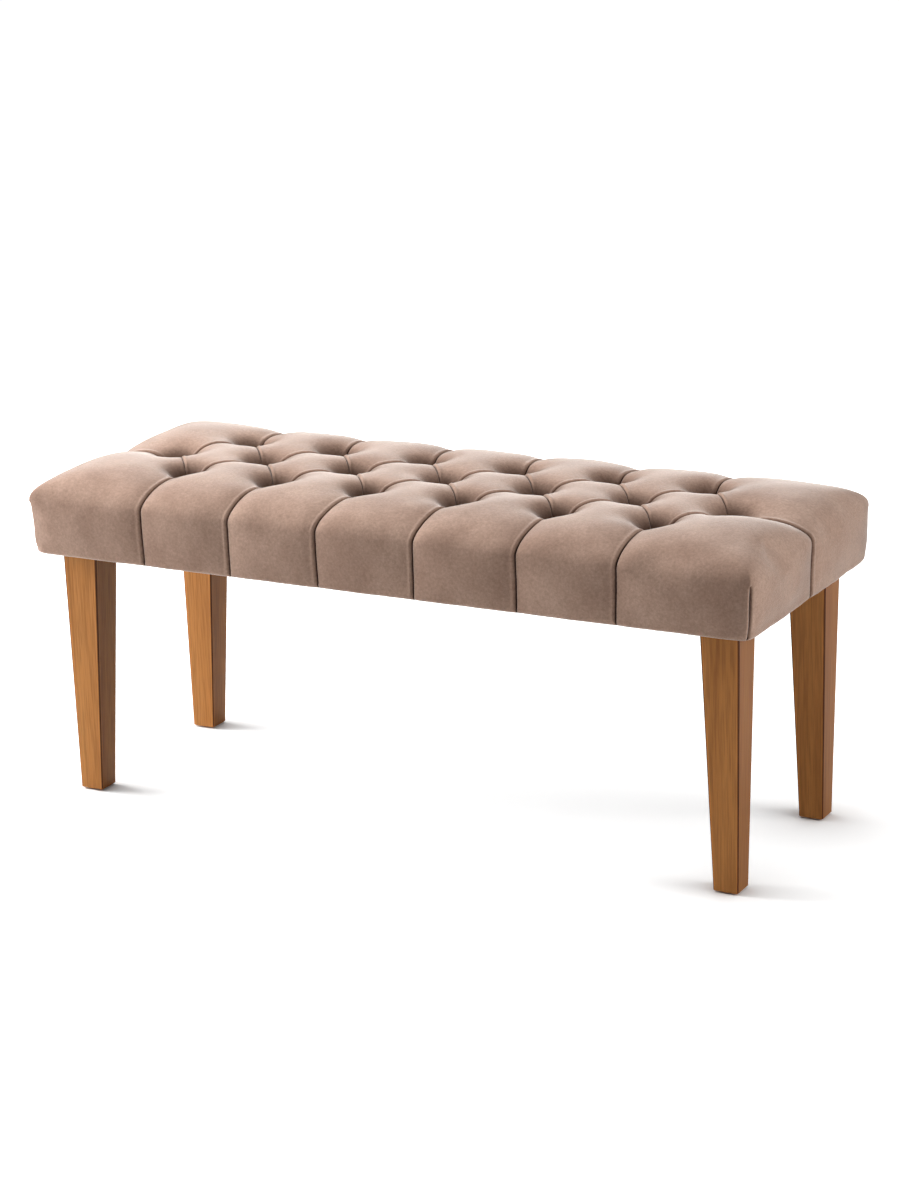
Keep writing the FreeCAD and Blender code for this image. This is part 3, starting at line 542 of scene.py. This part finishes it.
def puffed(grids, holds):
    """How far the stuffing pushes each patch out, from a cloth simulation held at folds, wells and hem."""
    coarse, picks = [], []
    for grid in grids:
        rows, cols = run_along(grid, 0), run_along(grid, 1)
        pick = spaced(rows, CLOTH_STEP), spaced(cols, CLOTH_STEP)
        picks.append((rows, cols, *pick))
        coarse.append(grid[np.ix_(*pick)])
    mesh, kept, joined = patch_mesh("stuffing_cloth", coarse)
    cloth = bpy.data.objects.new("stuffing_cloth", mesh)
    scene.collection.objects.link(cloth)
    pins = np.concatenate([hold[np.ix_(*pick[2:])].ravel() for hold, pick in zip(holds, picks)])[kept]
    group = cloth.vertex_groups.new(name="held")
    for i, weight in enumerate(pins):
        group.add([i], float(weight), "REPLACE")
    settings = cloth.modifiers.new("cloth", "CLOTH").settings
    settings.vertex_group_mass = "held"
    for setting, value in CLOTH.items():
        setattr(settings, setting, value)
    settings.effector_weights.gravity = 0
    for step in range(1, CLOTH_FRAMES + 1):
        scene.frame_set(step)
    settled = cloth.evaluated_get(bpy.context.evaluated_depsgraph_get()).to_mesh()
    moved = np.empty(len(mesh.vertices) * 3)
    settled.vertices.foreach_get("co", moved)
    moved = moved.reshape(-1, 3) - np.concatenate([grid.reshape(-1, 3) for grid in coarse])[kept]
    size = np.linalg.norm(moved, axis=1, keepdims=True)
    moved = (moved * np.minimum(1, CLOTH_CAP / np.maximum(size, 1e-9)))[joined]
    bpy.data.objects.remove(cloth)
    scene.frame_set(1)
    shifts, first = [], 0
    for grid, (rows, cols, row_pick, col_pick) in zip(coarse, picks):
        count = grid.shape[0] * grid.shape[1]
        shift = moved[first:first + count].reshape(grid.shape)
        first += count
        shift = smooth_between(shift, rows[row_pick], rows)
        shifts.append(smooth_between(shift.swapaxes(0, 1), cols[col_pick], cols).swapaxes(0, 1))
    return shifts


def held_share(x, y, drop):
    """1 at the folds, the wells and the hem, falling to 0 where the stuffing is free to push."""
    held = np.clip((drop - FACE + HELD_FADE) / HELD_FADE, 0, 1)
    for start, end, *_ in pleat_lines():
        away = from_line(x, y, start, end)[0]
        held = np.maximum(held, np.clip(1 - (away - HELD_NEAR) / HELD_FADE, 0, 1))
    for tx, ty in TUFTS:
        away = np.hypot(x - tx, y - ty)
        held = np.maximum(held, np.clip(1 - (away - HELD_WELL) / HELD_FADE, 0, 1))
    return held


def cushion_mesh():
    """The velvet's mesh, made of poufs that meet at the folds. Each point carries how sunk it lies."""
    patches = [diamond(x) for x in MIDDLE_X[:-1]]
    patches += [curtain(x, side) for side in (-1, 1) for x in OUTER_X[:-1]]
    patches += [corner_pouf(end, side) for end in (-1, 1) for side in (-1, 1)]
    grids, sunk = [], []
    for patch in patches:
        grid, deep = cushion_point(*patch)
        grids.append(grid)
        sunk.append(deep.ravel())
    shifts = puffed(grids, [held_share(*patch) for patch in patches])
    grids = [grid + shift for grid, shift in zip(grids, shifts)]
    mesh, kept, _ = patch_mesh("velvet_cushion", grids)
    mesh.attributes.new("sunk", "FLOAT", "POINT").data.foreach_set("value", np.concatenate(sunk)[kept])
    return mesh


def node_tree(name):
    """A new material, with its nodes, links and main shader."""
    mat = bpy.data.materials.new(name)
    mat.use_nodes = True
    return mat, mat.node_tree.nodes, mat.node_tree.links, mat.node_tree.nodes["Principled BSDF"]


def mapped(nodes, links, scale):
    """Object coordinates, stretched by scale."""
    place = nodes.new("ShaderNodeTexCoord")
    stretch = nodes.new("ShaderNodeMapping")
    stretch.inputs["Scale"].default_value = scale
    links.new(place.outputs["Object"], stretch.inputs["Vector"])
    return stretch.outputs["Vector"]


def noise(nodes, links, vector, scale, detail=3, roughness=0.55):
    tex = nodes.new("ShaderNodeTexNoise")
    tex.inputs["Scale"].default_value = scale
    tex.inputs["Detail"].default_value = detail
    tex.inputs["Roughness"].default_value = roughness
    links.new(vector, tex.inputs["Vector"])
    return tex.outputs["Fac"]


def ramp(nodes, links, fac, stops):
    """Colours by share, as (place, colour) pairs."""
    node = nodes.new("ShaderNodeValToRGB")
    for i, (at, colour) in enumerate(stops):
        stop = node.color_ramp.elements[i] if i < 2 else node.color_ramp.elements.new(at)
        stop.position = at
        stop.color = (*colour, 1)
    links.new(fac, node.inputs["Fac"])
    return node.outputs["Color"]


def mix(nodes, links, fac, a, b, blend="MIX"):
    node = nodes.new("ShaderNodeMix")
    node.data_type = "RGBA"
    node.blend_type = blend
    for value, socket in ((fac, node.inputs["Factor"]), (a, node.inputs["A"]), (b, node.inputs["B"])):
        if hasattr(value, "links"):
            links.new(value, socket)
        elif isinstance(value, tuple):
            socket.default_value = (*value, 1)
        else:
            socket.default_value = value
    return node.outputs["Result"]


def bump(nodes, links, shader, height, strength, distance):
    node = nodes.new("ShaderNodeBump")
    node.inputs["Strength"].default_value = strength
    node.inputs["Distance"].default_value = distance
    links.new(height, node.inputs["Height"])
    links.new(node.outputs["Normal"], shader.inputs["Normal"])


def velvet():
    """Short pile with a soft sheen, brushed in clouds, and darkened by painted shade where it lies sunk."""
    mat, nodes, links, shader = node_tree("mink_velvet")
    vector = mapped(nodes, links, (1, 1, 1))
    clouds = noise(nodes, links, mapped(nodes, links, (1, 1, 0.6)), 13, 6, 0.66)
    brushed = ramp(nodes, links, clouds, [(0.34, VELVET_DEEP), (0.66, VELVET_PALE)])
    # Painted shade: the sunk share darkens the base colour in the wells, slits and corner folds
    sunk = nodes.new("ShaderNodeAttribute")
    sunk.attribute_name = "sunk"
    painted_shade = ramp(nodes, links, sunk.outputs["Fac"], [(0.08, WHITE), (0.66, VELVET_PAINTED_SHADE)])
    brushed = mix(nodes, links, 1.0, brushed, painted_shade, "MULTIPLY")
    pile = noise(nodes, links, vector, 260, 5, 0.75)
    flecks = ramp(nodes, links, pile, list(zip((0.34, 0.66), VELVET_FLECKS)))
    links.new(mix(nodes, links, 0.8, brushed, flecks, "MULTIPLY"), shader.inputs["Base Color"])
    shader.inputs["Roughness"].default_value = 0.85
    shader.inputs["Specular IOR Level"].default_value = 0.12
    shader.inputs["Sheen Weight"].default_value = 1.0
    shader.inputs["Sheen Roughness"].default_value = 0.35
    shader.inputs["Sheen Tint"].default_value = (1.0, 0.94, 0.90, 1)
    bump(nodes, links, shader, pile, 0.5, 0.0008)
    return mat


def math_node(nodes, links, operation, a, b=0.0):
    node = nodes.new("ShaderNodeMath")
    node.operation = operation
    for value, socket in ((a, node.inputs[0]), (b, node.inputs[1])):
        if hasattr(value, "links"):
            links.new(value, socket)
        else:
            socket.default_value = value
    return node.outputs["Value"]


def leg_arris(nodes, links):
    """How near a point of a leg is to its corners, from 0 along its middle to 1 at an arris."""
    place = nodes.new("ShaderNodeTexCoord")
    split = nodes.new("ShaderNodeSeparateXYZ")
    links.new(place.outputs["Object"], split.inputs["Vector"])
    up = math_node(nodes, links, "MULTIPLY", split.outputs["Z"], 1 / LEG_TOP)
    half = math_node(nodes, links, "MULTIPLY_ADD", up, LEG_HEAD_HALF - LEG_FOOT_HALF)
    half.node.inputs[2].default_value = LEG_FOOT_HALF
    shares = []
    for axis, foot, head in (("X", LEG_FOOT_X, LEG_HEAD_X), ("Y", LEG_FOOT_Y, LEG_HEAD_Y)):
        middle = math_node(nodes, links, "MULTIPLY_ADD", up, head - foot)
        middle.node.inputs[2].default_value = foot
        across = math_node(nodes, links, "ABSOLUTE", split.outputs[axis])
        away = math_node(nodes, links, "SUBTRACT", across, middle)
        shares.append(math_node(nodes, links, "DIVIDE", math_node(nodes, links, "ABSOLUTE", away), half))
    return math_node(nodes, links, "MINIMUM", *shares)


def leg_wood():
    """Satin wood with upright grain and streaks, painted shade on its x faces, painted highlight and shade
    at its arrises.
    """
    mat, nodes, links, shader = node_tree("walnut_legs")
    vector = mapped(nodes, links, (26, 26, 1.3))
    figure = noise(nodes, links, vector, 1.1, 5, 0.55)
    tone = ramp(nodes, links, figure, list(zip((0.28, 0.50, 0.74), LEG_TONES)))
    streaks = noise(nodes, links, mapped(nodes, links, (420, 420, 9)), 1.0, 3, 0.6)
    dark = ramp(nodes, links, streaks, list(zip((0.36, 0.58), LEG_STREAKS)))
    grained = mix(nodes, links, 0.45, tone, dark, "MULTIPLY")
    # Painted highlight and then painted shade at the arrises, by nearness to the leg's corners
    edge_highlight_and_shade = ramp(nodes, links, leg_arris(nodes, links),
                 [(0.80, WHITE), (0.86, LEG_EDGE_PAINTED_HIGHLIGHT), (0.90, LEG_EDGE_PAINTED_HIGHLIGHT), (0.93, LEG_EDGE_PAINTED_SHADE)])
    # Painted shade: faces turned along x are darkened in the base colour
    geometry = nodes.new("ShaderNodeNewGeometry")
    split = nodes.new("ShaderNodeSeparateXYZ")
    links.new(geometry.outputs["Normal"], split.inputs["Vector"])
    sideways = math_node(nodes, links, "ABSOLUTE", split.outputs["X"])
    side_painted_shade = ramp(nodes, links, sideways, [(0.4, WHITE), (0.8, LEG_SIDE_PAINTED_SHADE)])
    grained = mix(nodes, links, 1.0, grained, side_painted_shade, "MULTIPLY")
    links.new(mix(nodes, links, 1.0, grained, edge_highlight_and_shade, "MULTIPLY"), shader.inputs["Base Color"])
    shader.inputs["Roughness"].default_value = 0.45
    shader.inputs["Specular IOR Level"].default_value = 0.2
    bump(nodes, links, shader, streaks, 0.12, 0.0003)
    return mat


def plain(name, dark, light, scale, roughness, metallic=0.0, stretch=(1, 1, 1)):
    """A material whose tone wanders between two colours."""
    mat, nodes, links, shader = node_tree(name)
    grain = noise(nodes, links, mapped(nodes, links, stretch), scale, 4, 0.6)
    links.new(ramp(nodes, links, grain, [(0.3, dark), (0.7, light)]), shader.inputs["Base Color"])
    shader.inputs["Roughness"].default_value = roughness
    shader.inputs["Metallic"].default_value = metallic
    bump(nodes, links, shader, grain, 0.1, 0.0004)
    return mat


def dress_nodes():
    """Materials of the pieces that keep their solid's form."""
    frame_wood = plain("pine_frame", (0.42, 0.28, 0.15), (0.62, 0.45, 0.27), 3, 0.7, stretch=(6, 40, 40))
    plywood = plain("plywood_deck", (0.46, 0.32, 0.18), (0.60, 0.45, 0.28), 4, 0.75, stretch=(3, 25, 25))
    finishes = {
        "leg_wood": leg_wood(),
        "frame_wood": frame_wood,
        "deck_plywood": plywood,
        "zinc_steel": plain("zinc_plate", (0.50, 0.50, 0.47), (0.66, 0.66, 0.63), 300, 0.38, 1.0),
        "staple_steel": plain("staple_wire", (0.42, 0.42, 0.43), (0.58, 0.58, 0.60), 400, 0.42, 1.0),
        "glide_plastic": plain("glide_plastic", (0.012, 0.011, 0.010), (0.022, 0.020, 0.018), 500, 0.5),
        "washer_plastic": plain("washer_plastic", (0.62, 0.62, 0.58), (0.72, 0.72, 0.68), 300, 0.5),
        "twine": plain("waxed_twine", (0.40, 0.34, 0.24), (0.60, 0.53, 0.41), 700, 0.8),
    }
    slots = {part["node"]: part["material_slot"] for part in frame["record"]["subparts"]}
    for name, node in frame["nodes"].items():
        finish = finishes.get(slots[name])
        if finish:
            node.data.materials.clear()
            node.data.materials.append(finish)


def add_piece(name, mesh, material):
    piece = bpy.data.objects.new(name, mesh)
    scene.collection.objects.link(piece)
    mesh.materials.append(material)
    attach(piece, "root")
    return piece


def cushion():
    """The velvet cover over its stuffing."""
    piece = add_piece("velvet_cushion", cushion_mesh(), velvet())
    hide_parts("velvet_cover", "wadding_layer", "foam_pad")


def dust_cloth():
    """Thin black cloth under the frame, laid over the velvet's hem and drawn tight."""
    xs = np.linspace(-DUST_HALF_X, DUST_HALF_X, DUST_POINTS_X)
    ys = np.linspace(-DUST_HALF_Y, DUST_HALF_Y, DUST_POINTS_Y)
    x, y = np.meshgrid(xs, ys, indexing="ij")
    inset = np.minimum(DUST_HALF_X - np.abs(x), DUST_HALF_Y - np.abs(y))
    lift = np.clip((inset - DUST_RIM) / DUST_SLOPE, 0, 1)
    z = DUST_UNDERSIDE + DUST_RISE * lift * lift * (3 - 2 * lift)
    z += DUST_RIPPLE * np.sin(DUST_RIPPLE_X * x) * np.sin(DUST_RIPPLE_Y * y + 0.8) * (1 - lift)
    mesh = bpy.data.meshes.new("dust_cloth_sheet")
    index = np.arange(x.size).reshape(x.shape)
    quads = np.stack([index[:-1, :-1], index[:-1, 1:], index[1:, 1:], index[1:, :-1]], axis=-1)
    points = np.stack([x, y, z], axis=-1)
    mesh.from_pydata(points.reshape(-1, 3).tolist(), [], quads.reshape(-1, 4).tolist())
    mesh.polygons.foreach_set("use_smooth", [True] * len(mesh.polygons))
    cloth = plain("black_dust_cloth", (0.010, 0.010, 0.011), (0.030, 0.030, 0.032), 900, 0.95)
    piece = add_piece("dust_cloth_sheet", mesh, cloth)
    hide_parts("dust_cloth")


def floor():
    """White floor that glows as seen, most far from the bench and least close to the feet, where a painted
    contact shadow darkens it.
    """
    mesh = bpy.data.meshes.new("floor")
    corners = [(FLOOR_REACH * x, FLOOR_REACH * y, 0) for x, y in ((-1, -1), (1, -1), (1, 1), (-1, 1))]
    mesh.from_pydata(corners, [], [(0, 1, 2, 3)])
    ground = bpy.data.objects.new("floor", mesh)
    scene.collection.objects.link(ground)
    mat, nodes, links, shader = node_tree("white_floor")
    shader.inputs["Base Color"].default_value = FLOOR_COLOUR
    shader.inputs["Roughness"].default_value = 1.0
    shader.inputs["Specular IOR Level"].default_value = 0.0
    place = nodes.new("ShaderNodeTexCoord")
    away = nodes.new("ShaderNodeVectorMath")
    away.operation = "LENGTH"
    links.new(place.outputs["Object"], away.inputs[0])
    rise = nodes.new("ShaderNodeMapRange")
    rise.inputs["From Min"].default_value, rise.inputs["From Max"].default_value = FLOOR_NEAR, FLOOR_FAR
    rise.inputs["To Min"].default_value, rise.inputs["To Max"].default_value = GLOW_NEAR, GLOW_FAR
    links.new(away.outputs["Value"], rise.inputs["Value"])
    # Painted contact shadow: the glow is dimmed by occlusion round the feet
    near = nodes.new("ShaderNodeAmbientOcclusion")
    near.inputs["Distance"].default_value = CONTACT_REACH
    open_share = math_node(nodes, links, "POWER", near.outputs["AO"], CONTACT_POWER)
    path = nodes.new("ShaderNodeLightPath")
    glow = math_node(nodes, links, "MULTIPLY", path.outputs["Is Camera Ray"], rise.outputs["Result"])
    glow = math_node(nodes, links, "MULTIPLY", glow, open_share)
    links.new(glow, shader.inputs["Emission Strength"])
    shader.inputs["Emission Color"].default_value = (1, 1, 1, 1)
    mesh.materials.append(mat)


def world():
    """A little even light, and plain white wherever the backdrop is seen or reflected."""
    scene.world = bpy.data.worlds.new("studio")
    scene.world.use_nodes = True
    nodes, links = scene.world.node_tree.nodes, scene.world.node_tree.links
    light = nodes["Background"]
    light.inputs["Color"].default_value = (1, 1, 1, 1)
    light.inputs["Strength"].default_value = 0.05
    seen = nodes.new("ShaderNodeBackground")
    seen.inputs["Strength"].default_value = 1.0
    path = nodes.new("ShaderNodeLightPath")
    shown = math_node(nodes, links, "MAXIMUM", path.outputs["Is Camera Ray"], path.outputs["Is Glossy Ray"])
    shown = math_node(nodes, links, "MAXIMUM", shown, path.outputs["Is Transmission Ray"])
    blend = nodes.new("ShaderNodeMixShader")
    links.new(shown, blend.inputs["Fac"])
    links.new(light.outputs["Background"], blend.inputs[1])
    links.new(seen.outputs["Background"], blend.inputs[2])
    links.new(blend.outputs["Shader"], nodes["World Output"].inputs["Surface"])


def lamp(name, place, target, size, power):
    data = bpy.data.lights.new(name, "AREA")
    data.size = size
    data.energy = power
    lit = bpy.data.objects.new(name, data)
    lit.location = place
    lit.rotation_euler = (Vector(target) - Vector(place)).to_track_quat("-Z", "Y").to_euler()
    scene.collection.objects.link(lit)


def camera():
    yaw, pitch, turn = (math.radians(angle) for angle in (EYE_YAW, EYE_PITCH, EYE_ROLL))
    ahead = Vector((math.sin(yaw) * math.cos(pitch), math.cos(yaw) * math.cos(pitch), -math.sin(pitch)))
    level = Vector((math.cos(yaw), -math.sin(yaw), 0))
    up = level.cross(ahead)
    right = math.cos(turn) * level + math.sin(turn) * up
    above = -math.sin(turn) * level + math.cos(turn) * up
    data = bpy.data.cameras.new("camera")
    data.sensor_width = 36
    data.lens = EYE_LENS
    data.shift_y = EYE_SHIFT
    data.clip_end = 60
    eye = bpy.data.objects.new("camera", data)
    turned = Matrix((right, above, -ahead)).transposed()
    eye.matrix_world = Matrix.Translation(EYE) @ turned.to_4x4()
    scene.collection.objects.link(eye)
    scene.camera = eye


camera()
world()
floor()
for lamp_name, lamp_row in LAMPS.items():
    lamp(lamp_name, *lamp_row)
dress_nodes()
cushion()
dust_cloth()
scene.view_settings.view_transform = "Standard"
